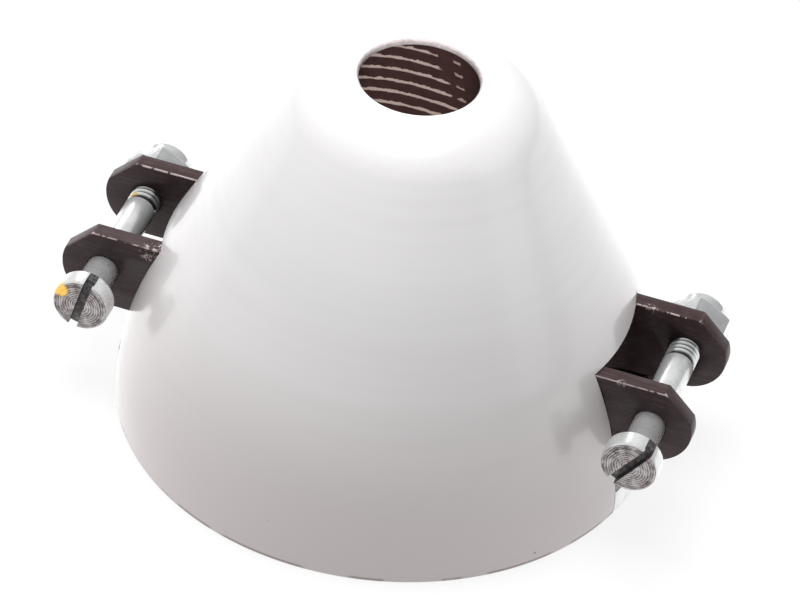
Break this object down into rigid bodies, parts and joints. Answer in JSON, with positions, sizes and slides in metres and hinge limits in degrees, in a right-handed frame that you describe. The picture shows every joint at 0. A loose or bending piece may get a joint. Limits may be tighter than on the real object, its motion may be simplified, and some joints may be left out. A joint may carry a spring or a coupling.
{
  "type": "propeller spinner",
  "caption": "Hollow nose cone with an open front over a blade yoke; forked arms come out at its sides and carry slotted pivot screws with lock nuts.",
  "frame": {"origin": "centre of the rear face, on the shaft axis", "axes": "+Z along the shaft axis to the nose, +X along the arms of the blade yoke, -Y towards the heads of the pivot screws"},
  "size_m": [0.0508, 0.042, 0.0316],
  "materials": {
    "shell": "gloss white moulded shell, dark inside",
    "anodised": "black anodised, worn at the edges",
    "plate": "turned, plain",
    "collet": "turned",
    "steel": "bright steel",
    "zinc": "bright zinc plate",
    "ring": "natural nylon"
  },
  "bodies": {
    "hub": {"spinner_cone": "shell", "blade_yoke": "anodised", "back_plate": "plate", "shaft_collet": "collet", "collet_washer": "steel", "collet_nut": "steel", "plate_screw_front": "steel", "plate_screw_rear": "steel"},
    "right_nut": {"lock_nut_right": "zinc", "nut_ring_right": "ring"},
    "right_screw": {"pivot_screw_right": "zinc"},
    "left_nut": {"lock_nut_left": "zinc", "nut_ring_left": "ring"},
    "left_screw": {"pivot_screw_left": "zinc"}
  },
  "joints": [
    {"name": "right_pin_slide", "type": "slide", "parent": "hub", "child": "right_nut", "axis": [0, 1, 0], "range_m": [0, 0.00365]},
    {"name": "right_screw_turn", "type": "hinge", "parent": "right_nut", "child": "right_screw", "pos_m": [0.02205, 0, 0.00942], "axis": [0, 1, 0], "continuous": true},
    {"name": "left_pin_slide", "type": "slide", "parent": "hub", "child": "left_nut", "axis": [0, 1, 0], "range_m": [0, 0.00315]},
    {"name": "left_screw_turn", "type": "hinge", "parent": "left_nut", "child": "left_screw", "pos_m": [-0.02205, 0, 0.00942], "axis": [0, 1, 0], "continuous": true}
  ]
}
